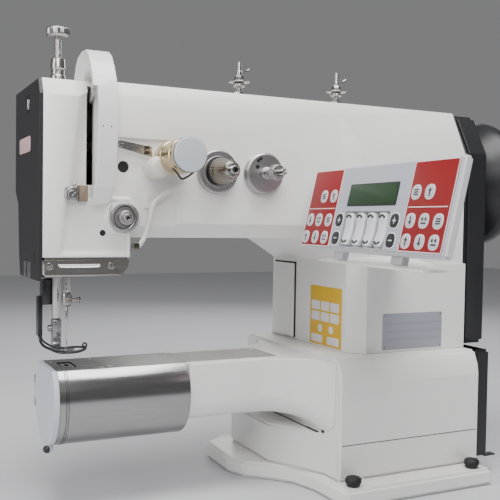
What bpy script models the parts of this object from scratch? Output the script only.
"""Cylinder-arm walking-foot sewing machine head, in metres, +Z up.

The frame's origin is at the middle of the foot plate's underside. X runs along the arm with the
needle end at -X, and the operator sits at -Y.
"""

import math

import bmesh
import bpy
from mathutils import Matrix, Vector

# Driving dimensions.
GAP = 0.0003
WALL = 0.006
RUNNING = 0.0001

PLATE_TOP = 0.017
PLATE_FRONT = -0.116
PLATE_RIGHT = 0.084
PLATE_BACK = 0.112

PLATE_LEFT_EDGE = [
    (-0.120, PLATE_BACK),
    (-0.146, 0.090),
    (-0.148, 0.030),
    (-0.140, 0.006),
    (-0.124, -0.008),
    (-0.104, -0.030),
    (-0.095, -0.060),
    (-0.093, PLATE_FRONT),
]
BOLT_CAPS = (("base_cap_left", -0.078), ("base_cap_right", 0.066))
BOLT_CAP_Y = -0.1045
BOLT_CAP_RADIUS = 0.0078
BOLT_CAP_NECK = 0.0065

BASE_LEFT = -0.087
BLOCK_LEFT = -0.118
BLOCK_BACK = 0.086
CABLE_WAY_LOW = (-0.030, -0.045, 0.100)
CABLE_WAY_HIGH = (0.060, 0.060, 0.145)
HOOK_HOLE_RADIUS = 0.0125
BLOCK_TOP = 0.0575
BASE_RIGHT = 0.086
BASE_FRONT = -0.092
BASE_BACK = 0.110
BASE_TOP = 0.134
BASE_TOP_FRONT = -0.0845
BASE_SHOULDER_FRONT = -0.0905
BASE_SHOULDER_Z = 0.120
BED_Z = 0.131

COLUMN_LEFT = -0.057
COLUMN_RIGHT = 0.0835
COLUMN_FRONT = -0.0685
COLUMN_BACK = 0.103
COLUMN_CHAMFER = 0.015
COLUMN_LEDGE_Z = 0.2235
COLUMN_STEP_Z = 0.262
UPPER_FRONT = -0.066
UPPER_RIGHT = 0.0815
UPPER_LEFT = -0.051
UPPER_CHAMFER = 0.014
GUSSET_LENGTH = 0.040
GUSSET_DROP = 0.0245

ARM_FRONT = -0.052
ARM_BACK = 0.052
ARM_BOTTOM = 0.249
ARM_TOP = 0.385
ARM_EDGE_Z = 0.369
ARM_EDGE_IN = 0.008
SLOPE_START_Z = 0.341

ROOM_TOP = 0.374
ROOM_HALF = 0.044
TAKE_UP_SLOT_LOW = (-0.3202, -0.06, 0.294)
TAKE_UP_SLOT_HIGH = (-0.3142, -0.03, 0.3785)
DOOR_WAY_LOW = (-0.07, 0.054, 0.140)
DOOR_WAY_HIGH = (-0.045, 0.091, 0.214)
DOOR_BOTTOM = 0.1365
DOOR_TOP = 0.2190
DOOR_FRONT = 0.0495
DOOR_BACK = 0.0965

HEAD_LEFT = -0.3577
HEAD_RIGHT = -0.281
HEAD_BOTTOM = 0.232
HEAD_TOP = 0.383
HEAD_BACK_TOP = 0.060
HEAD_BACK_LOW = 0.046
FACE_LEFT = -0.361

SHAFT_Z = 0.312
SHAFT_RADIUS = 0.0075
HOOK_Z = 0.098
HOOK_SHAFT_RADIUS = 0.006
HOOK_LEFT = -0.3385
HOOK_RADIUS = 0.0150
BOBBIN_CASE_RADIUS = 0.0120
BOBBIN_RADIUS = 0.010
BOBBIN_CORE = 0.004
HOOK_BUSH_RADIUS = 0.0122
REAR_BUSH_RADIUS = 0.0140
CRANK_RADIUS = 0.015
MOTOR_LEFT = -0.030
MOTOR_RIGHT = 0.055
MOTOR_RADIUS = 0.040
PULLEY_LEFT = 0.088
PULLEY_RIGHT = 0.102
UPPER_PULLEY_RADIUS = 0.030
LOWER_PULLEY_RADIUS = 0.015

CASTING_HALF = 0.040
CASTING_SPREAD = 0.046
CASTING_LOW = 0.076
CASTING_DROP = 0.0150
CASTING_CORNER = 0.018
CASTING_FLARE_START = -0.148
CASTING_FLARE_STEPS = 10
CHANNEL_HALF = 0.0322
CHANNEL_LOW = 0.084
CHANNEL_HIGH = 0.128

CYLINDER_Z = 0.1015
CYLINDER_RADIUS = 0.0423
CYLINDER_WALL = 0.003
SLEEVE_LEFT = -0.340
SLEEVE_RIGHT = -0.2185
PLATE_HALF = 0.0268
PLATE_THICK = 0.0027
NEEDLE_PLATE_RIGHT = -0.295
BED_PLATE_RIGHT = -0.120
NEEDLE_SLOT_LOW = (-0.3315, -0.014, 0.12)
NEEDLE_SLOT_HIGH = (-0.3185, 0.014, 0.14)
FEED_LOW = (-0.3302, -0.009, 0.1165)
FEED_HIGH = (-0.3198, 0.009, 0.1305)
FEED_CARRIER_LOW = (-0.3210, -0.005, 0.1165)
FEED_CARRIER_HIGH = (-0.245, 0.005, 0.1235)
CAP_LEFT = -0.3447
CAP_HINGE_X = -0.3425
CAP_HINGE_Y = 0.0455
CAP_PIN_RADIUS = 0.0010
KNUCKLE_BACK = 0.0024

NEEDLE_X = -0.325
PRESSER_X = -0.331
PRESSER_Y = 0.016
OUTER_X = -0.335
OUTER_Y = 0.031
BAR_RADIUS = 0.004

TENSION_X = -0.200
TENSION_Z = 0.310
TENSION_RADIUS = 0.0200
TENSION_STUD = 0.0040
SECOND_X = -0.153
SECOND_RADIUS = 0.0198
SECOND_STUD = 0.0028
CHECK_X = -0.2880
CHECK_Z = 0.2665
CHECK_RADIUS = 0.0132
HOSE_RADIUS = 0.0021
HOSE_ROUTE = [
    (-0.2340, -0.0570, 0.3000),
    (-0.2420, -0.0565, 0.2945),
    (-0.2550, -0.0560, 0.2860),
    (-0.2618, -0.0555, 0.2790),
    (-0.2650, -0.0552, 0.2650),
    (-0.2690, -0.0552, 0.2520),
    (-0.2740, -0.0552, 0.2430),
    (-0.2785, -0.0552, 0.2405),
]
POST_PLACES = (("thread_post_left", -0.162), ("thread_post_right", -0.050))
POST_Y = -0.017
SOLENOID_X = -0.247
SOLENOID_Z = 0.320
SOLENOID_RADIUS = 0.015

GUARD_LEFT = -0.322
GUARD_LIMB_LEFT = -0.318
GUARD_RIGHT = -0.3015

NEEDLE_BAR_TOP = 0.365
CLAMP_LOW = 0.1850
CLAMP_TOP = 0.1970
CLAMP_SCREW_Z = 0.1905
PRESSER_BAR_LOW = 0.1723
PRESSER_BAR_TOP = 0.338
OUTER_BAR_LOW = 0.2000
SPRING_TURNS = 6
SPRING_STEPS = 10
SPRING_RADIUS = 0.0052
SPRING_WIRE = 0.0008
SPRING_LOW = 0.3395
SPRING_HEIGHT = 0.0345
BUSH_LOW = 0.3752
BUSH_TOP = 0.4115
BUSH_RADIUS = 0.0070
THUMB_RADIUS = 0.0108

TAKE_UP_X = -0.3172
TAKE_UP_PIVOT = (-0.002, 0.338)
TAKE_UP_EYE = (-0.058, 0.374)

PANEL_CORNER = Vector((-0.1194, -0.0683, 0.2407))
PANEL_TURN = math.radians(2.1)
PANEL_TILT = math.radians(13.1)
PANEL_WIDTH = 0.216
PANEL_HEIGHT = 0.077
PANEL_THICK = 0.009
PANEL_MARGIN = 0.003
HINGE_UP = -0.003
HINGE_OUT = -0.0115
LUG_STARTS = (0.050, 0.140)
LUG_WIDTH = 0.016
KEY_START = 0.0737
KEY_PITCH = 0.01685
KEY_WIDTH = 0.0130
KEY_MIDDLE = 0.0194
KEY_HALF_HEIGHT = 0.0138
KEY_BORDER = 0.0018

SIDES = 24

PAINT = (0.80, 0.79, 0.77)
BLACK = (0.03, 0.03, 0.032)
STEEL = (0.55, 0.55, 0.56)
CHROME = (0.72, 0.72, 0.73)
DARK_STEEL = (0.12, 0.12, 0.13)
BRASS = (0.62, 0.50, 0.28)
RED = (0.52, 0.04, 0.035)
GREY = (0.55, 0.56, 0.62)


def clear_scene():
    """Removes every object, so that the part starts from nothing."""
    for old in list(bpy.data.objects):
        bpy.data.objects.remove(old)


def material(name, colour, roughness, metallic):
    """A plain material of one colour."""
    made = bpy.data.materials.get(name)
    if made is None:
        made = bpy.data.materials.new(name)
        made.use_nodes = True
        shader = made.node_tree.nodes["Principled BSDF"]
        shader.inputs["Base Color"].default_value = (*colour, 1.0)
        shader.inputs["Roughness"].default_value = roughness
        shader.inputs["Metallic"].default_value = metallic
    return made


FINISHES = {
    "paint": (PAINT, 0.35, 0.0),
    "black_paint": (BLACK, 0.45, 0.0),
    "steel": (STEEL, 0.30, 1.0),
    "chrome": (CHROME, 0.12, 1.0),
    "dark_steel": (DARK_STEEL, 0.35, 1.0),
    "brass": (BRASS, 0.30, 1.0),
    "rubber": (BLACK, 0.70, 0.0),
    "membrane": (RED, 0.45, 0.0),
    "grey_plastic": (GREY, 0.45, 0.0),
    "hose": ((0.85, 0.85, 0.83), 0.40, 0.0),
}


def add_object(name, mesh_builder, finish):
    """An object from a bmesh, with its normals pointing out."""
    bmesh.ops.remove_doubles(mesh_builder, verts=mesh_builder.verts, dist=1e-6)
    bmesh.ops.recalc_face_normals(mesh_builder, faces=mesh_builder.faces)
    mesh = bpy.data.meshes.new(name)
    mesh_builder.to_mesh(mesh)
    mesh_builder.free()
    made = bpy.data.objects.new(name, mesh)
    made.data.materials.append(material(finish, *FINISHES[finish]))
    bpy.context.scene.collection.objects.link(made)
    return made


def loft(name, sections, finish):
    """A solid through rings that all have the same number of points, closed at both ends."""
    builder = bmesh.new()
    rings = [[builder.verts.new(point) for point in section] for section in sections]
    count = len(rings[0])
    for near, far in zip(rings, rings[1:]):
        for index in range(count):
            after = (index + 1) % count
            builder.faces.new((near[index], near[after], far[after], far[index]))
    builder.faces.new(rings[0])
    builder.faces.new(list(reversed(rings[-1])))
    return add_object(name, builder, finish)


def place(axis, along, first, second):
    """A point from its distance along an axis and its two other coordinates, in X, Y, Z order."""
    if axis == "x":
        return (along, first, second)
    if axis == "y":
        return (first, along, second)
    return (first, second, along)


def prism(name, axis, low, high, outline, finish):
    """An outline carried straight along an axis."""
    sections = [[place(axis, at, *point) for point in outline] for at in (low, high)]
    return loft(name, sections, finish)


def box(name, low, high, finish):
    """A box between two corners."""
    outline = [(low[0], low[1]), (high[0], low[1]), (high[0], high[1]), (low[0], high[1])]
    return prism(name, "z", low[2], high[2], outline, finish)


def circle(radius, centre=(0.0, 0.0), sides=SIDES):
    """The corners of a regular polygon on a circle."""
    turns = [2 * math.pi * index / sides for index in range(sides)]
    return [(centre[0] + radius * math.cos(a), centre[1] + radius * math.sin(a)) for a in turns]


def turned(name, axis, centre, profile, finish, sides=SIDES):
    """A round piece: profile holds (distance along the axis, radius) from end to end."""
    sections = []
    for along, radius in profile:
        sections.append([place(axis, along, *point) for point in circle(radius, centre, sides)])
    return loft(name, sections, finish)


def ring_prism(name, axis, low, high, outer, inner, finish):
    """A band between two outlines with equal point counts, carried along an axis."""
    builder = bmesh.new()
    loops = []
    for at, outline in ((low, outer), (high, outer), (high, inner), (low, inner)):
        loops.append([builder.verts.new(place(axis, at, *point)) for point in outline])
    count = len(outer)
    for number in range(4):
        near = loops[number]
        far = loops[(number + 1) % 4]
        for index in range(count):
            after = (index + 1) % count
            builder.faces.new((near[index], near[after], far[after], far[index]))
    return add_object(name, builder, finish)


def tube(name, path, radius, finish, sides=8):
    """A round bar along a path, with flat ends."""
    sections = []
    across = None
    for index, point in enumerate(path):
        before = Vector(path[max(index - 1, 0)])
        after = Vector(path[min(index + 1, len(path) - 1)])
        heading = (after - before).normalized()
        if across is None:
            across = heading.orthogonal()
        across = (across - heading * across.dot(heading)).normalized()
        other = heading.cross(across)
        ring = circle(radius, sides=sides)
        sections.append([Vector(point) + across * a + other * b for a, b in ring])
    return loft(name, sections, finish)


def smooth_path(points, steps):
    """A Catmull-Rom curve through the points."""
    route = [Vector(point) for point in points]
    ends = [route[0] * 2 - route[1]] + route + [route[-1] * 2 - route[-2]]
    curve = []
    for index in range(1, len(ends) - 2):
        a, b, c, d = ends[index - 1 : index + 3]
        for step in range(steps):
            t = step / steps
            bend = (b * 2) + (c - a) * t
            bend += (a * 2 - b * 5 + c * 4 - d) * t**2
            bend += (b * 3 - a - c * 3 + d) * t**3
            curve.append(bend * 0.5)
    curve.append(route[-1])
    return curve


def combine(target, other, operation):
    """Applies an exact Boolean to the target and removes the other object."""
    modifier = target.modifiers.new("combine", "BOOLEAN")
    modifier.operation = operation
    modifier.solver = "EXACT"
    modifier.object = other
    bpy.context.view_layer.update()
    graph = bpy.context.evaluated_depsgraph_get()
    result = bpy.data.meshes.new_from_object(target.evaluated_get(graph))
    target.modifiers.clear()
    target.data = result
    bpy.data.objects.remove(other)
    return target


def join(target, *others):
    """Adds solids to the target."""
    for other in others:
        combine(target, other, "UNION")
    return target


def cut(target, *others):
    """Takes solids away from the target."""
    for other in others:
        combine(target, other, "DIFFERENCE")
    return target


def bore(axis, centre, radius, low, high, sides=SIDES):
    """A cutter for a round hole whose flats clear a pin of the given radius."""
    clear = (radius + RUNNING) / math.cos(math.pi / sides)
    return turned("bore", axis, centre, [(low, clear), (high, clear)], "steel", sides)


def hole(axis, centre, radius, low, high, sides=16):
    """A cutter for a plain round hole."""
    return turned("hole", axis, centre, [(low, radius), (high, radius)], "steel", sides)


def soften(made, width, segments=2, angle=35.0):
    """Rounds the sharp edges of a solid."""
    builder = bmesh.new()
    builder.from_mesh(made.data)
    bmesh.ops.dissolve_limit(
        builder, angle_limit=math.radians(1.0), verts=builder.verts, edges=builder.edges
    )
    sharp = [e for e in builder.edges if e.calc_face_angle(0.0) > math.radians(angle)]
    bmesh.ops.bevel(
        builder, geom=sharp, offset=width, segments=segments, affect="EDGES", clamp_overlap=True
    )
    builder.to_mesh(made.data)
    builder.free()
    return made


def set_origin(made, point):
    """Moves an object's origin to a point on its joint's axis, and leaves its shape in place."""
    made.data.transform(Matrix.Translation(-Vector(point)))
    made.location = point
    return made


def foot_plate():
    """The cast foot plate with its irregular left edge, and its two push-in caps."""
    outline = [
        (PLATE_RIGHT, PLATE_FRONT),
        (PLATE_RIGHT, PLATE_BACK),
    ]
    outline += PLATE_LEFT_EDGE
    plate = prism("base_plate", "z", 0.0, PLATE_TOP, outline, "paint")
    soften(plate, 0.003, 2, 25.0)
    for name, x in BOLT_CAPS:
        profile = [
            (PLATE_TOP + GAP, BOLT_CAP_NECK),
            (PLATE_TOP + 0.003, BOLT_CAP_NECK),
            (PLATE_TOP + 0.0034, BOLT_CAP_RADIUS),
            (PLATE_TOP + 0.0075, BOLT_CAP_RADIUS),
            (PLATE_TOP + 0.009, 0.0066),
        ]
        turned(name, "z", (x, BOLT_CAP_Y), profile, "rubber", 16)


def base_housing():
    """The hollow base casting with its front shoulder and the block under the cylinder's root."""
    bottom = PLATE_TOP + GAP
    outline = [
        (BASE_FRONT, bottom),
        (BASE_BACK, bottom),
        (BASE_BACK, BASE_TOP),
        (BASE_TOP_FRONT, BASE_TOP),
        (BASE_SHOULDER_FRONT, BASE_SHOULDER_Z),
        (BASE_FRONT, BASE_SHOULDER_Z - 0.010),
    ]
    casting = prism("base_housing", "x", BASE_LEFT, BASE_RIGHT, outline, "paint")
    block = [(BASE_LEFT + 0.01, -0.070), (BASE_LEFT, -0.066), (BLOCK_LEFT, -0.006)]
    block.append((BLOCK_LEFT, BLOCK_BACK))
    block.append((BASE_LEFT + 0.01, BLOCK_BACK))
    join(casting, prism("block", "z", bottom, BLOCK_TOP, block, "paint"))
    soften(casting, 0.0025)
    inner = (BASE_LEFT + WALL, BASE_FRONT + WALL, bottom - 0.01)
    outer = (BASE_RIGHT - WALL, BASE_BACK - WALL, BASE_SHOULDER_Z - 0.004)
    cut(casting, box("hollow", inner, outer, "paint"))
    left = hole("x", (0.0, HOOK_Z), HOOK_HOLE_RADIUS, BASE_LEFT - 0.01, BASE_LEFT + 0.02)
    right = hole("x", (0.0, HOOK_Z), HOOK_HOLE_RADIUS, BASE_RIGHT - 0.02, BASE_RIGHT + 0.01)
    cut(casting, left, right)
    opening = box("opening", CABLE_WAY_LOW, CABLE_WAY_HIGH, "paint")
    cut(casting, opening)


def casting_section(x, flare):
    """One ring of the white cylinder casting: flat top, round lower corners, wider at the root."""
    half = CASTING_HALF + CASTING_SPREAD * flare
    low = CASTING_LOW - CASTING_DROP * flare
    round_off = CASTING_CORNER
    points = [(x, half, BED_Z), (x, -half, BED_Z)]
    for side, start in ((-1, 180), (1, 270)):
        for step in range(5):
            angle = math.radians(start + 22.5 * step)
            y = side * (half - round_off) + round_off * math.cos(angle)
            points.append((x, y, low + round_off + round_off * math.sin(angle)))
    return points


def cylinder_arm():
    """The white casting, the steel sleeve and the plates that close its flat top."""
    root = BASE_LEFT - GAP
    sections = [casting_section(SLEEVE_RIGHT + GAP, 0.0)]
    for step in range(CASTING_FLARE_STEPS + 1):
        share = step / CASTING_FLARE_STEPS
        x = CASTING_FLARE_START + (root - CASTING_FLARE_START) * share
        sections.append(casting_section(x, 1 - math.sqrt(max(0.0, 1 - share**2))))
    casting = loft("cylinder_casting", sections, "paint")
    channel = [(-CHANNEL_HALF, CHANNEL_LOW), (CHANNEL_HALF, CHANNEL_LOW)]
    channel += [(CHANNEL_HALF, CHANNEL_HIGH), (-CHANNEL_HALF, CHANNEL_HIGH)]
    cut(casting, prism("channel", "x", SLEEVE_RIGHT - 0.01, root + 0.01, channel, "paint"))
    low = (SLEEVE_RIGHT - 0.01, -PLATE_HALF - GAP, 0.120)
    high = (BED_PLATE_RIGHT + GAP, PLATE_HALF + GAP, BED_Z + 0.01)
    cut(casting, box("plate_seat", low, high, "paint"))

    lift = BED_Z - CYLINDER_Z
    outer = []
    inner = []
    steps = 28
    for radius, ring in ((CYLINDER_RADIUS, outer), (CYLINDER_RADIUS - CYLINDER_WALL, inner)):
        start = math.asin(lift / radius)
        for index in range(steps + 1):
            angle = math.pi - start + (math.pi + 2 * start) * index / steps
            ring.append((radius * math.cos(angle), CYLINDER_Z + radius * math.sin(angle)))
    outline = outer + list(reversed(inner))
    sleeve = prism("cylinder_sleeve", "x", SLEEVE_LEFT, SLEEVE_RIGHT, outline, "steel")
    seat_low = (SLEEVE_LEFT - 0.01, -PLATE_HALF - GAP, BED_Z - PLATE_THICK - GAP)
    seat_high = (SLEEVE_RIGHT + 0.01, PLATE_HALF + GAP, BED_Z + 0.01)
    cut(sleeve, box("sleeve_seat", seat_low, seat_high, "steel"))
    back = CAP_HINGE_Y + KNUCKLE_BACK
    for low_z, high_z in ((0.0855, 0.0927), (0.1073, 0.1145)):
        root = box("root", (SLEEVE_LEFT, 0.0385, low_z), (SLEEVE_LEFT + 0.0035, back, high_z), "steel")
        tip = box("tip", (CAP_LEFT, 0.0431, low_z), (SLEEVE_LEFT + 0.001, back, high_z), "steel")
        join(sleeve, root, tip)
    pin = [(0.0880, CAP_PIN_RADIUS), (0.1120, CAP_PIN_RADIUS)]
    join(sleeve, turned("pin", "z", (CAP_HINGE_X, CAP_HINGE_Y), pin, "steel", 12))

    top = BED_Z
    bottom = BED_Z - PLATE_THICK
    front = -PLATE_HALF
    back = PLATE_HALF
    plate_end = (NEEDLE_PLATE_RIGHT, back, top)
    needle_plate = box("needle_plate", (SLEEVE_LEFT, front, bottom), plate_end, "dark_steel")
    cut(needle_plate, box("slot", NEEDLE_SLOT_LOW, NEEDLE_SLOT_HIGH, "steel"))
    slide_start = (NEEDLE_PLATE_RIGHT + GAP, front, bottom)
    box("slide_plate", slide_start, (SLEEVE_RIGHT - GAP, back, top), "steel")
    bed_start = (SLEEVE_RIGHT + GAP, front, bottom)
    box("bed_plate", bed_start, (BED_PLATE_RIGHT, back, top), "dark_steel")

    dog = box("feed_dog", FEED_LOW, FEED_HIGH, "steel")
    join(dog, box("carrier", FEED_CARRIER_LOW, FEED_CARRIER_HIGH, "steel"))
    cut(dog, box("needle_way", (-0.3272, -0.0055, 0.10), (-0.3228, 0.0055, 0.14), "steel"))


def hook_group():
    """The hook shaft, its bush and pulley, the rotary hook, the bobbin case and the bobbin."""
    centre = (0.0, HOOK_Z)
    ends = [(-0.3230, HOOK_SHAFT_RADIUS), (PULLEY_LEFT - GAP, HOOK_SHAFT_RADIUS)]
    turned("hook_shaft", "x", centre, ends, "steel")
    bush_ends = [(0.0745, HOOK_BUSH_RADIUS), (0.0862, HOOK_BUSH_RADIUS)]
    bush = turned("hook_bush", "x", centre, bush_ends, "brass")
    cut(bush, bore("x", centre, HOOK_SHAFT_RADIUS, 0.07, 0.09))
    pulley = [(PULLEY_LEFT, LOWER_PULLEY_RADIUS), (PULLEY_RIGHT, LOWER_PULLEY_RADIUS)]
    turned("lower_pulley", "x", centre, pulley, "dark_steel", 32)
    hook = turned("rotary_hook", "x", centre, [(HOOK_LEFT, HOOK_RADIUS), (-0.3233, HOOK_RADIUS)], "chrome")
    cut(hook, hole("x", centre, 0.0130, -0.35, -0.3260, SIDES))
    case_ends = [(HOOK_LEFT + 0.0005, BOBBIN_CASE_RADIUS), (-0.3265, BOBBIN_CASE_RADIUS)]
    case = turned("bobbin_case", "x", centre, case_ends, "steel")
    cut(case, hole("x", centre, 0.0106, -0.35, -0.3280, SIDES))
    spool = [(-0.3370, BOBBIN_RADIUS), (-0.3358, BOBBIN_RADIUS), (-0.3357, BOBBIN_CORE)]
    spool += [(-0.3298, BOBBIN_CORE), (-0.3297, BOBBIN_RADIUS), (-0.3285, BOBBIN_RADIUS)]
    made = turned("bobbin", "x", centre, spool, "steel")
    for name in ("hook_shaft", "lower_pulley", "rotary_hook"):
        set_origin(bpy.data.objects[name], (0.0, 0.0, HOOK_Z))
    set_origin(made, (-0.3325, 0.0, HOOK_Z))


def end_cap():
    """The cap that closes the cylinder's end, with its knuckle and its latch."""
    lift = BED_Z - CYLINDER_Z
    start = math.asin(lift / CYLINDER_RADIUS)
    outline = []
    for index in range(33):
        angle = math.pi - start + (math.pi + 2 * start) * index / 32
        outline.append(
            (CYLINDER_RADIUS * math.cos(angle), CYLINDER_Z + CYLINDER_RADIUS * math.sin(angle))
        )
    cap = prism("end_cap", "x", CAP_LEFT, SLEEVE_LEFT - GAP, outline, "paint")
    knuckle_low = (CAP_LEFT, 0.039, 0.0932)
    knuckle_high = (SLEEVE_LEFT - 0.0004, CAP_HINGE_Y + KNUCKLE_BACK, 0.1068)
    knuckle = box("knuckle", knuckle_low, knuckle_high, "paint")
    join(cap, knuckle)
    cut(cap, bore("z", (CAP_HINGE_X, CAP_HINGE_Y), CAP_PIN_RADIUS, 0.08, 0.12, 12))
    ball = [(0.0545, 0.001), (0.0555, 0.0030), (0.0580, 0.0040), (0.0606, 0.0030), (0.0625, 0.0012)]
    join(cap, turned("ball", "z", (-0.3425, -0.012), ball, "rubber", 12))
    set_origin(cap, (CAP_HINGE_X, CAP_HINGE_Y, CYLINDER_Z))


def arm_outline():
    """The arm's section across its length, with its bevelled lower and upper front edges."""
    return [
        (ARM_BACK, ARM_BOTTOM),
        (ARM_BACK, ARM_TOP),
        (ARM_FRONT + ARM_EDGE_IN, ARM_TOP),
        (ARM_FRONT, ARM_EDGE_Z),
        (ARM_FRONT, ARM_BOTTOM + 0.013),
        (ARM_FRONT + 0.012, ARM_BOTTOM),
    ]


def arm_casting():
    """Head, arm and column in one hollow casting, open to the left, below and into the base."""
    start_z = BASE_TOP + GAP
    casting = prism("arm_casting", "x", HEAD_RIGHT - 0.02, -0.04, arm_outline(), "paint")
    head = [
        (ARM_FRONT, HEAD_BOTTOM),
        (HEAD_BACK_LOW - 0.004, HEAD_BOTTOM),
        (HEAD_BACK_LOW, 0.278),
        (HEAD_BACK_TOP, 0.290),
        (HEAD_BACK_TOP, HEAD_TOP),
        (ARM_FRONT + 0.007, HEAD_TOP),
        (ARM_FRONT, ARM_EDGE_Z),
    ]
    join(casting, prism("head", "x", HEAD_LEFT, HEAD_RIGHT, head, "paint"))
    front_slope = [
        (HEAD_BACK_TOP, COLUMN_STEP_Z),
        (HEAD_BACK_TOP, ARM_TOP),
        (ARM_FRONT + ARM_EDGE_IN, ARM_TOP),
        (UPPER_FRONT, SLOPE_START_Z),
        (UPPER_FRONT, ARM_BOTTOM + 0.013),
        (UPPER_FRONT + 0.012, ARM_BOTTOM + 0.001),
    ]
    upper = prism("upper", "x", UPPER_LEFT - UPPER_CHAMFER - 0.008, UPPER_RIGHT, front_slope, "paint")
    reach = 0.1
    corner = [
        (UPPER_LEFT + reach, UPPER_FRONT - reach),
        (UPPER_LEFT - reach, UPPER_FRONT + reach),
        (UPPER_LEFT - reach, UPPER_FRONT - reach),
    ]
    cut(upper, prism("corner", "z", 0.2, 0.4, corner, "paint"))
    middle = [
        (UPPER_LEFT - 0.006, UPPER_FRONT + COLUMN_CHAMFER),
        (UPPER_LEFT - 0.006 + COLUMN_CHAMFER, UPPER_FRONT),
        (UPPER_RIGHT, UPPER_FRONT),
        (UPPER_RIGHT, COLUMN_BACK),
        (UPPER_LEFT - 0.006, COLUMN_BACK),
    ]
    lower = [
        (COLUMN_LEFT, COLUMN_FRONT + COLUMN_CHAMFER),
        (COLUMN_LEFT + COLUMN_CHAMFER, COLUMN_FRONT),
        (COLUMN_RIGHT, COLUMN_FRONT),
        (COLUMN_RIGHT, COLUMN_BACK),
        (COLUMN_LEFT, COLUMN_BACK),
    ]
    join(
        casting,
        upper,
        prism("middle", "z", COLUMN_LEDGE_Z - 0.002, COLUMN_STEP_Z, middle, "paint"),
        prism("lower", "z", start_z, COLUMN_LEDGE_Z, lower, "paint"),
    )
    gusset = [
        (COLUMN_LEFT + 0.004, ARM_BOTTOM - GUSSET_DROP * (1 + 0.004 / GUSSET_LENGTH)),
        (COLUMN_LEFT + 0.004, ARM_BOTTOM + 0.010),
        (COLUMN_LEFT - GUSSET_LENGTH, ARM_BOTTOM + 0.010),
        (COLUMN_LEFT - GUSSET_LENGTH, ARM_BOTTOM),
    ]
    gusset_front = COLUMN_FRONT + COLUMN_CHAMFER
    join(casting, prism("gusset", "y", gusset_front, COLUMN_BACK, gusset, "paint"))
    soften(casting, 0.0025)

    back = ARM_BACK - WALL
    column_room = [
        (-0.050, -0.0500),
        (-0.0390, -0.0610),
        (0.0755, -0.0610),
        (0.0755, 0.0970),
        (-0.050, 0.0970),
    ]
    cut(
        casting,
        box("head_room", (HEAD_LEFT - 0.01, -ROOM_HALF, 0.20), (-0.287, 0.040, ROOM_TOP), "paint"),
        box("arm_room", (-0.30, -ROOM_HALF, 0.256), (0.0, back, ROOM_TOP), "paint"),
        box("top_room", (-0.046, -ROOM_HALF, 0.240), (0.076, 0.054, ROOM_TOP), "paint"),
        prism("column_room", "z", 0.12, 0.256, column_room, "paint"),
        box("take_up_slot", TAKE_UP_SLOT_LOW, TAKE_UP_SLOT_HIGH, "paint"),
        box("door_way", DOOR_WAY_LOW, DOOR_WAY_HIGH, "paint"),
        hole("x", (0.0, SHAFT_Z), 0.0143, 0.07, 0.09, SIDES),
        hole("z", (PRESSER_X, PRESSER_Y), 0.0075, 0.36, 0.40),
        hole("y", (-0.288, 0.311), 0.0052, -0.06, -0.04),
        hole("y", (-0.306, 0.253), 0.0028, -0.06, -0.04),
    )


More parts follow.
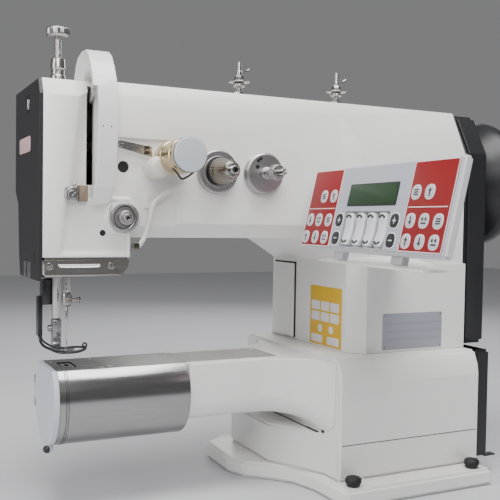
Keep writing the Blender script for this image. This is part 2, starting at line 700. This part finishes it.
def covers():
    """The face plate, the chrome plate under the head, the side door and the two rear covers."""
    face = [
        (ARM_FRONT + 0.0005, 0.222),
        (-0.046, 0.212),
        (0.034, 0.212),
        (0.040, 0.230),
        (HEAD_BACK_LOW - 0.0005, 0.278),
        (HEAD_BACK_TOP - 0.0005, 0.290),
        (HEAD_BACK_TOP - 0.0005, HEAD_TOP - 0.001),
        (ARM_FRONT + 0.007, HEAD_TOP - 0.001),
        (ARM_FRONT + 0.0005, ARM_EDGE_Z),
    ]
    plate = prism("face_plate", "x", FACE_LEFT, HEAD_LEFT - GAP, face, "black_paint")
    cut(plate, hole("x", (0.001, 0.366), 0.0085, FACE_LEFT - 0.01, FACE_LEFT + 0.0018, 20))

    top = HEAD_BOTTOM - GAP
    lower = [
        (HEAD_LEFT, top),
        (HEAD_RIGHT, top),
        (HEAD_RIGHT - 0.002, 0.223),
        (HEAD_RIGHT - 0.008, 0.215),
        (HEAD_LEFT, 0.215),
    ]
    under = prism("head_lower_plate", "y", ARM_FRONT + 0.0005, 0.040, lower, "chrome")
    soften(under, 0.002)
    cut(
        under,
        box("pan", (HEAD_LEFT + 0.004, -0.047, 0.2185), (-0.291, 0.0365, 0.24), "chrome"),
        bore("z", (NEEDLE_X, 0.0), BAR_RADIUS, 0.20, 0.24),
        bore("z", (PRESSER_X, PRESSER_Y), BAR_RADIUS, 0.20, 0.24),
        bore("z", (OUTER_X, OUTER_Y), BAR_RADIUS, 0.20, 0.24),
    )

    door_left = COLUMN_LEFT - 0.0035
    door_high = (COLUMN_LEFT - GAP, DOOR_BACK, DOOR_TOP)
    door = box("side_door", (door_left, DOOR_FRONT, DOOR_BOTTOM), door_high, "paint")
    soften(door, 0.001, 1)
    set_origin(door, (door_left, DOOR_BACK, (DOOR_BOTTOM + DOOR_TOP) / 2))

    upper = [
        (UPPER_FRONT, 0.137),
        (COLUMN_BACK - 0.001, 0.137),
        (COLUMN_BACK - 0.001, COLUMN_STEP_Z - 0.001),
        (0.078, COLUMN_STEP_Z + 0.030),
        (0.078, 0.340),
        (0.060, ARM_TOP - 0.0015),
        (ARM_FRONT + ARM_EDGE_IN + 0.001, ARM_TOP - 0.0015),
        (UPPER_FRONT, SLOPE_START_Z),
    ]
    cover = prism("upper_rear_cover", "x", COLUMN_RIGHT + GAP, 0.115, upper, "black_paint")
    soften(cover, 0.004, 2)
    room = [(-0.060, 0.12), (0.096, 0.12), (0.096, 0.255), (0.072, 0.285), (0.072, 0.337)]
    room += [(0.056, 0.378), (-0.040, 0.378), (-0.060, 0.337)]
    cut(cover, prism("room", "x", 0.07, 0.111, room, "black_paint"))
    cut(cover, hole("x", (0.0, SHAFT_Z), 0.012, 0.10, 0.13, SIDES))

    low = box("lower_rear_cover", (0.0866, -0.083, 0.0185), (0.108, 0.100, 0.1325), "black_paint")
    soften(low, 0.003, 2)
    cut(low, box("room", (0.07, -0.079, 0.0225), (0.1045, 0.096, 0.15), "black_paint"))


def take_up():
    """The take-up lever on its pin, with the bearing plate that holds both, and the white guard."""
    y, z = TAKE_UP_PIVOT
    eye_y, eye_z = TAKE_UP_EYE
    half = 0.0014
    left = TAKE_UP_X - half
    right = TAKE_UP_X + half
    reach = Vector((eye_y - y, eye_z - z)).normalized()
    side = Vector((-reach.y, reach.x)) * 0.0024
    bar = [
        (y + side.x, z + side.y),
        (y - side.x, z - side.y),
        (eye_y - side.x * 0.8, eye_z - side.y * 0.8),
        (eye_y + side.x * 0.8, eye_z + side.y * 0.8),
    ]
    lever = prism("take_up_lever", "x", left, right, bar, "chrome")
    join(lever, turned("boss", "x", (y, z), [(left, 0.0055), (right, 0.0055)], "chrome", 16))
    join(lever, turned("ring", "x", (eye_y, eye_z), [(left, 0.0036), (right, 0.0036)], "chrome", 16))
    cut(lever, bore("x", (y, z), 0.0025, left - 0.01, right + 0.01, 16))
    cut(lever, hole("x", (eye_y, eye_z), 0.0019, left - 0.01, right + 0.01, 12))
    set_origin(lever, (TAKE_UP_X, y, z))

    plate = box("front_bearing", (-0.292, -0.0435, 0.270), (-0.284, 0.0395, 0.3735), "steel")
    cut(plate, bore("x", (0.0, SHAFT_Z), SHAFT_RADIUS, -0.30, -0.28))
    join(plate, turned("pin", "x", (y, z), [(-0.3203, 0.0025), (-0.288, 0.0025)], "steel", 16))
    turned_bush = [(0.0700, REAR_BUSH_RADIUS), (0.0840, REAR_BUSH_RADIUS)]
    bush = turned("rear_bush", "x", (0.0, SHAFT_Z), turned_bush, "brass")
    cut(bush, bore("x", (0.0, SHAFT_Z), SHAFT_RADIUS, 0.06, 0.09))

    outer = [
        (-0.0080, HEAD_TOP + GAP),
        (-0.0100, 0.3920),
        (-0.0150, 0.4010),
        (-0.0220, 0.4070),
        (-0.0360, 0.4100),
        (-0.0500, 0.4090),
        (-0.0580, 0.4045),
        (-0.0660, 0.3950),
        (-0.0720, 0.3850),
        (-0.0770, 0.3740),
        (-0.0790, 0.3580),
        (-0.0790, 0.3400),
        (-0.0760, 0.3120),
        (-0.0700, 0.2920),
        (-0.0620, 0.2775),
    ]
    inner = [
        (-0.0590, 0.2790),
        (-0.0670, 0.2930),
        (-0.0730, 0.3130),
        (-0.0760, 0.3400),
        (-0.0755, 0.3580),
        (-0.0730, 0.3720),
        (-0.0690, 0.3810),
        (-0.0640, 0.3870),
        (-0.0570, 0.3900),
        (-0.0480, 0.3895),
        (-0.0420, 0.3870),
        (-0.0400, HEAD_TOP + GAP),
    ]
    guard = prism("take_up_guard", "x", GUARD_LEFT, GUARD_RIGHT, outer + inner, "paint")
    step = box("step", (GUARD_LEFT - 0.01, -0.1, 0.27), (GUARD_LIMB_LEFT, -0.0715, 0.3750), "paint")
    low_step = box("step", (GUARD_LEFT - 0.01, -0.1, 0.27), (GUARD_LIMB_LEFT, -0.05, 0.3700), "paint")
    corner = [
        (GUARD_RIGHT - 0.007, 0.2700),
        (GUARD_RIGHT + 0.010, 0.2700),
        (GUARD_RIGHT + 0.010, 0.2900),
        (GUARD_RIGHT, 0.2900),
        (GUARD_RIGHT - 0.0015, 0.2835),
    ]
    cut(guard, step, low_step, prism("corner", "y", -0.1, -0.05, corner, "paint"))


def main_shaft():
    """The arm shaft with the handwheel, the upper pulley and the needle-bar crank, and the motor."""
    centre = (0.0, SHAFT_Z)
    turned(
        "arm_shaft",
        "x",
        centre,
        [(-0.300, SHAFT_RADIUS), (0.0880 - GAP, SHAFT_RADIUS)],
        "steel",
    )
    crank_ends = [(-0.311, CRANK_RADIUS), (-0.3003, CRANK_RADIUS)]
    crank = turned("needle_bar_crank", "x", centre, crank_ends, "dark_steel")
    cut(crank, hole("x", (0.009, SHAFT_Z), 0.003, -0.32, -0.305, 12))
    pulley = [(PULLEY_LEFT, UPPER_PULLEY_RADIUS), (PULLEY_RIGHT, UPPER_PULLEY_RADIUS)]
    pulley += [(PULLEY_RIGHT + 0.0001, 0.009), (0.1177, 0.009)]
    turned("upper_pulley", "x", centre, pulley, "dark_steel", 32)
    wheel = [
        (0.118, 0.030),
        (0.120, 0.046),
        (0.132, 0.058),
        (0.142, 0.068),
        (0.148, 0.0715),
        (0.156, 0.0715),
        (0.160, 0.068),
        (0.1605, 0.058),
        (0.150, 0.052),
        (0.149, 0.022),
        (0.156, 0.018),
        (0.158, 0.010),
    ]
    turned("handwheel", "x", centre, wheel, "black_paint", 40)
    for name in ("arm_shaft", "needle_bar_crank", "upper_pulley", "handwheel"):
        set_origin(bpy.data.objects[name], (0.0, 0.0, SHAFT_Z))
    motor_ends = [(MOTOR_LEFT, MOTOR_RADIUS), (MOTOR_RIGHT, MOTOR_RADIUS)]
    motor = turned("motor", "x", centre, motor_ends, "dark_steel", 28)
    cut(motor, hole("x", centre, 0.0095, -0.04, 0.07, SIDES))


def belt_loop(grow):
    """The belt's outline round both pulleys, the given distance outside their rims."""
    span = SHAFT_Z - HOOK_Z
    lean = math.asin((UPPER_PULLEY_RADIUS - LOWER_PULLEY_RADIUS) / span)
    points = []
    arcs = (
        (SHAFT_Z, UPPER_PULLEY_RADIUS + grow, -lean, math.pi + lean),
        (HOOK_Z, LOWER_PULLEY_RADIUS + grow, math.pi + lean, 2 * math.pi - lean),
    )
    for height, radius, first, last in arcs:
        for step in range(19):
            angle = first + (last - first) * step / 18
            points.append((radius * math.cos(angle), height + radius * math.sin(angle)))
    return points


def timing_belt():
    """The toothed belt between the shafts, as a plain band."""
    inner = belt_loop(0.0006)
    outer = belt_loop(0.0026)
    ring_prism("timing_belt", "x", PULLEY_LEFT + 0.001, PULLEY_RIGHT - 0.001, outer, inner, "rubber")


def needle_group():
    """The needle bar, its clamp with the side screw, and the needle."""
    centre = (NEEDLE_X, 0.0)
    bar = [(CLAMP_TOP + GAP, 0.0032), (0.1985, BAR_RADIUS), (NEEDLE_BAR_TOP, BAR_RADIUS)]
    turned("needle_bar", "z", centre, bar, "chrome")
    clamp_ends = [(CLAMP_LOW, 0.0048), (CLAMP_TOP, 0.0048)]
    clamp = turned("needle_clamp", "z", centre, clamp_ends, "steel", 20)
    screw_ends = [(-0.323, 0.0016), (-0.3150, 0.0016)]
    screw = turned("screw", "x", (0.0, CLAMP_SCREW_Z), screw_ends, "steel", 12)
    join(clamp, screw)
    head = [(-0.3156, 0.0028), (-0.3125, 0.0028)]
    join(clamp, turned("screw_head", "x", (0.0, CLAMP_SCREW_Z), head, "steel", 12))
    shape = [(0.1480, 0.0002), (0.1510, 0.0007), (0.1700, 0.0008), (0.1710, 0.0012), (0.1847, 0.0012)]
    turned("needle", "z", centre, shape, "chrome", 12)
    for name in ("needle_bar", "needle_clamp", "needle"):
        set_origin(bpy.data.objects[name], (NEEDLE_X, 0.0, CLAMP_LOW))


def presser_group():
    """The presser bar and foot, the outer walking foot, the spring, the bush and the screw."""
    centre = (PRESSER_X, PRESSER_Y)
    presser_ends = [(PRESSER_BAR_LOW, BAR_RADIUS), (PRESSER_BAR_TOP, BAR_RADIUS)]
    turned("presser_bar", "z", centre, presser_ends, "chrome")
    foot = box("presser_foot", (-0.3350, 0.0115, 0.1440), (-0.3270, 0.0205, 0.1720), "steel")
    join(foot, box("sole", (-0.3330, -0.010, 0.1425), (-0.3170, 0.0200, 0.1462), "steel"))
    cut(foot, hole("z", (NEEDLE_X, 0.0), 0.0026, 0.13, 0.16))
    join(foot, turned("screw", "x", (0.016, 0.163), [(-0.3385, 0.003), (-0.334, 0.003)], "steel", 12))

    outer_ends = [(OUTER_BAR_LOW, BAR_RADIUS), (0.300, BAR_RADIUS)]
    outer = turned("outer_foot", "z", (OUTER_X, OUTER_Y), outer_ends, "dark_steel")
    join(outer, box("block", (-0.3420, 0.0250, 0.1840), (-0.3290, 0.0370, 0.2080), "dark_steel"))
    join(outer, box("leaf", (-0.3455, 0.0262, 0.1540), (-0.3415, 0.0358, 0.1920), "dark_steel"))
    route = [
        (-0.3435, 0.0310, 0.1570),
        (-0.3432, 0.0270, 0.1500),
        (-0.3415, 0.0190, 0.1462),
        (-0.3385, 0.0050, 0.1452),
        (-0.3355, -0.0110, 0.1450),
        (-0.3290, -0.0165, 0.1450),
        (-0.3190, -0.0165, 0.1452),
        (-0.3120, -0.0150, 0.1470),
        (-0.3105, -0.0130, 0.1510),
    ]
    join(outer, tube("prong", smooth_path(route, 3), 0.0016, "dark_steel"))

    coil = []
    steps = SPRING_TURNS * SPRING_STEPS
    for index in range(steps + 1):
        angle = 2 * math.pi * index / SPRING_STEPS
        x = PRESSER_X + SPRING_RADIUS * math.cos(angle)
        y = PRESSER_Y + SPRING_RADIUS * math.sin(angle)
        coil.append((x, y, SPRING_LOW + SPRING_HEIGHT * index / steps))
    tube("presser_spring", coil, SPRING_WIRE, "steel", 6)

    bush_ends = [(BUSH_LOW, BUSH_RADIUS), (BUSH_TOP, BUSH_RADIUS)]
    bush = turned("presser_bush", "z", centre, bush_ends, "chrome")
    cut(bush, bore("z", centre, 0.0030, 0.36, 0.42, 16))
    screw = [(0.3450, 0.0030), (0.4310, 0.0030), (0.4311, 0.0098), (0.4330, THUMB_RADIUS)]
    screw += [(0.4385, THUMB_RADIUS), (0.4400, 0.0095)]
    made = turned("pressure_screw", "z", centre, screw, "chrome", 16)
    set_origin(made, (PRESSER_X, PRESSER_Y, 0.43))
    for name in ("presser_bar", "presser_foot"):
        set_origin(bpy.data.objects[name], (PRESSER_X, PRESSER_Y, 0.1720))
    set_origin(outer, (OUTER_X, OUTER_Y, OUTER_BAR_LOW))


def front_controls():
    """Tension units, solenoid with its lever and hose, check-spring disc, and thread bracket."""
    face = ARM_FRONT - GAP
    first = (TENSION_X, TENSION_Z)
    base = [(-0.0940, TENSION_STUD), (-0.0620, TENSION_STUD), (-0.0619, 0.0120), (-0.0570, 0.0120)]
    base += [(-0.0569, TENSION_RADIUS), (face, TENSION_RADIUS)]
    turned("tension_base", "y", first, base, "steel", 28)
    knob = turned(
        "tension_knob",
        "y",
        first,
        [(-0.0870, 0.0075), (-0.0855, 0.0085), (-0.0700, 0.0110), (-0.0660, 0.0125), (-0.0630, 0.0125)],
        "black_paint",
    )
    cut(knob, bore("y", first, TENSION_STUD, -0.10, -0.05))
    set_origin(knob, (TENSION_X, -0.070, TENSION_Z))

    second = (SECOND_X, TENSION_Z)
    base = [(-0.0970, SECOND_STUD), (-0.0640, SECOND_STUD), (-0.0639, 0.0060), (-0.0600, 0.0060)]
    base += [(-0.0599, SECOND_RADIUS), (face, SECOND_RADIUS)]
    turned("second_tension_base", "y", second, base, "steel", 28)
    nut = turned("second_tension_nut", "y", second, [(-0.0860, 0.0068), (-0.0790, 0.0078)], "steel")
    cut(nut, bore("y", second, SECOND_STUD, -0.10, -0.05))
    set_origin(nut, (SECOND_X, -0.082, TENSION_Z))

    body = [(-0.1060, 0.0140), (-0.1035, SOLENOID_RADIUS), (-0.0990, SOLENOID_RADIUS)]
    body += [(-0.0989, 0.0143), (-0.0700, 0.0143), (-0.0699, SOLENOID_RADIUS), (face, SOLENOID_RADIUS)]
    turned("solenoid", "y", (SOLENOID_X, SOLENOID_Z), body, "brass", 28)

    lever = [(-0.2975, 0.3345), (-0.2965, 0.3275), (-0.2640, 0.3200), (-0.2640, 0.3290)]
    made = prism("release_lever", "y", -0.0570, -0.0550, lever, "steel")
    set_origin(made, (-0.2930, -0.0560, 0.3310))

    disc = [(-0.0660, 0.0035), (-0.0620, 0.0040), (-0.0619, 0.0065), (-0.0572, 0.0070)]
    disc += [(-0.0571, 0.0128), (face, CHECK_RADIUS)]
    made = turned("check_spring_disc", "y", (CHECK_X, CHECK_Z), disc, "steel")
    set_origin(made, (CHECK_X, -0.0570, CHECK_Z))

    bracket = box("thread_bracket", (-0.3410, -0.0610, 0.2800), (-0.3285, face, 0.2925), "steel")
    soften(bracket, 0.002, 2)

    tube("air_hose", smooth_path(HOSE_ROUTE, 3), HOSE_RADIUS, "hose", 8)


def thread_posts():
    """The two thread guide posts on the arm's top: stud, washer, hexagon and bent flag."""
    for name, x in POST_PLACES:
        centre = (x, POST_Y)
        shape = [
            (ARM_TOP + GAP, 0.0030),
            (0.3960, 0.0030),
            (0.3961, 0.0060),
            (0.4000, 0.0060),
            (0.4001, 0.0105),
            (0.4018, 0.0105),
            (0.4019, 0.0046),
            (0.4080, 0.0046),
            (0.4081, 0.0022),
            (0.4200, 0.0022),
        ]
        post = turned(name, "z", centre, shape, "chrome", 16)
        flag = [(x, POST_Y - 0.001), (x + 0.0120, POST_Y - 0.003), (x + 0.0120, POST_Y + 0.003)]
        flag.append((x, POST_Y + 0.001))
        join(post, prism("flag", "z", 0.4140, 0.4160, flag, "chrome"))


def panel_frame():
    """The matrix of the panel: X runs to its right end, Y up its face, Z out of its face."""
    right = Vector((-math.sin(PANEL_TURN), -math.cos(PANEL_TURN), 0.0))
    back = Vector((math.cos(PANEL_TURN), -math.sin(PANEL_TURN), 0.0))
    up = Vector((0.0, 0.0, math.cos(PANEL_TILT))) + back * math.sin(PANEL_TILT)
    out = right.cross(up)
    frame = Matrix((right, up, out)).transposed().to_4x4()
    frame.translation = PANEL_CORNER
    return frame


def control_panel():
    """The housing on its tilting hinge, the key membrane, and four rocker keys."""
    frame = panel_frame()
    housing = box("panel_housing", (0.0, 0.0, -PANEL_THICK), (PANEL_WIDTH, PANEL_HEIGHT, 0.0), "paint")
    soften(housing, 0.002, 2)
    for start in LUG_STARTS:
        lug = box("lug", (start, -0.006, -0.0145), (start + LUG_WIDTH, 0.004, -0.0080), "paint")
        join(housing, lug)
    keys_left = KEY_START - KEY_BORDER
    keys_right = KEY_START + 3 * KEY_PITCH + KEY_WIDTH + KEY_BORDER
    keys_low = KEY_MIDDLE - KEY_HALF_HEIGHT - KEY_BORDER
    keys_high = KEY_MIDDLE + KEY_HALF_HEIGHT + KEY_BORDER
    cut(housing, box("pocket", (keys_left, keys_low, -0.0050), (keys_right, keys_high, 0.01), "paint"))

    sheet_low = (PANEL_MARGIN, PANEL_MARGIN, GAP)
    sheet_high = (PANEL_WIDTH - PANEL_MARGIN, PANEL_HEIGHT - PANEL_MARGIN, 0.0012)
    membrane = box("panel_membrane", sheet_low, sheet_high, "membrane")
    window = box("window", (keys_left, keys_low, -0.01), (keys_right, keys_high, 0.01), "membrane")
    cut(membrane, window)

    moved = [housing, membrane]
    for number in range(4):
        start = KEY_START + KEY_PITCH * number
        key = box(
            f"rocker_key_{number + 1}",
            (start, KEY_MIDDLE - KEY_HALF_HEIGHT, -0.0020),
            (start + KEY_WIDTH, KEY_MIDDLE + KEY_HALF_HEIGHT, 0.0030),
            "grey_plastic",
        )
        moved.append(key)
    for made in moved:
        made.data.transform(frame)
    pivot = frame @ Vector((PANEL_WIDTH / 2, HINGE_UP, HINGE_OUT))
    set_origin(housing, pivot)
    set_origin(membrane, pivot)
    for number in range(4):
        middle = KEY_START + KEY_PITCH * number + KEY_WIDTH / 2
        centre = frame @ Vector((middle, KEY_MIDDLE, -0.0010))
        set_origin(bpy.data.objects[f"rocker_key_{number + 1}"], centre)


def panel_bracket():
    """The folded sheet that carries the panel from the column's front."""
    low = 0.2290
    high = 0.2310
    outline = [
        (-0.112, -0.098),
        (-0.128, -0.262),
        (-0.104, -0.262),
        (-0.012, -0.110),
        (-0.012, UPPER_FRONT - GAP),
        (-0.040, UPPER_FRONT - GAP),
        (-0.108, -0.082),
    ]
    bracket = prism("panel_bracket", "z", low, high, outline, "paint")
    flange = box("flange", (-0.040, UPPER_FRONT - 0.0023, low), (-0.012, UPPER_FRONT - GAP, 0.246), "paint")
    join(bracket, flange)


def build():
    """Builds every sub-part."""
    clear_scene()
    foot_plate()
    base_housing()
    cylinder_arm()
    hook_group()
    end_cap()
    arm_casting()
    covers()
    take_up()
    main_shaft()
    timing_belt()
    needle_group()
    presser_group()
    front_controls()
    thread_posts()
    control_panel()
    panel_bracket()
    for made in bpy.context.scene.collection.objects:
        made.data.shade_smooth()
        made.data.set_sharp_from_angle(angle=math.radians(35.0))


build()
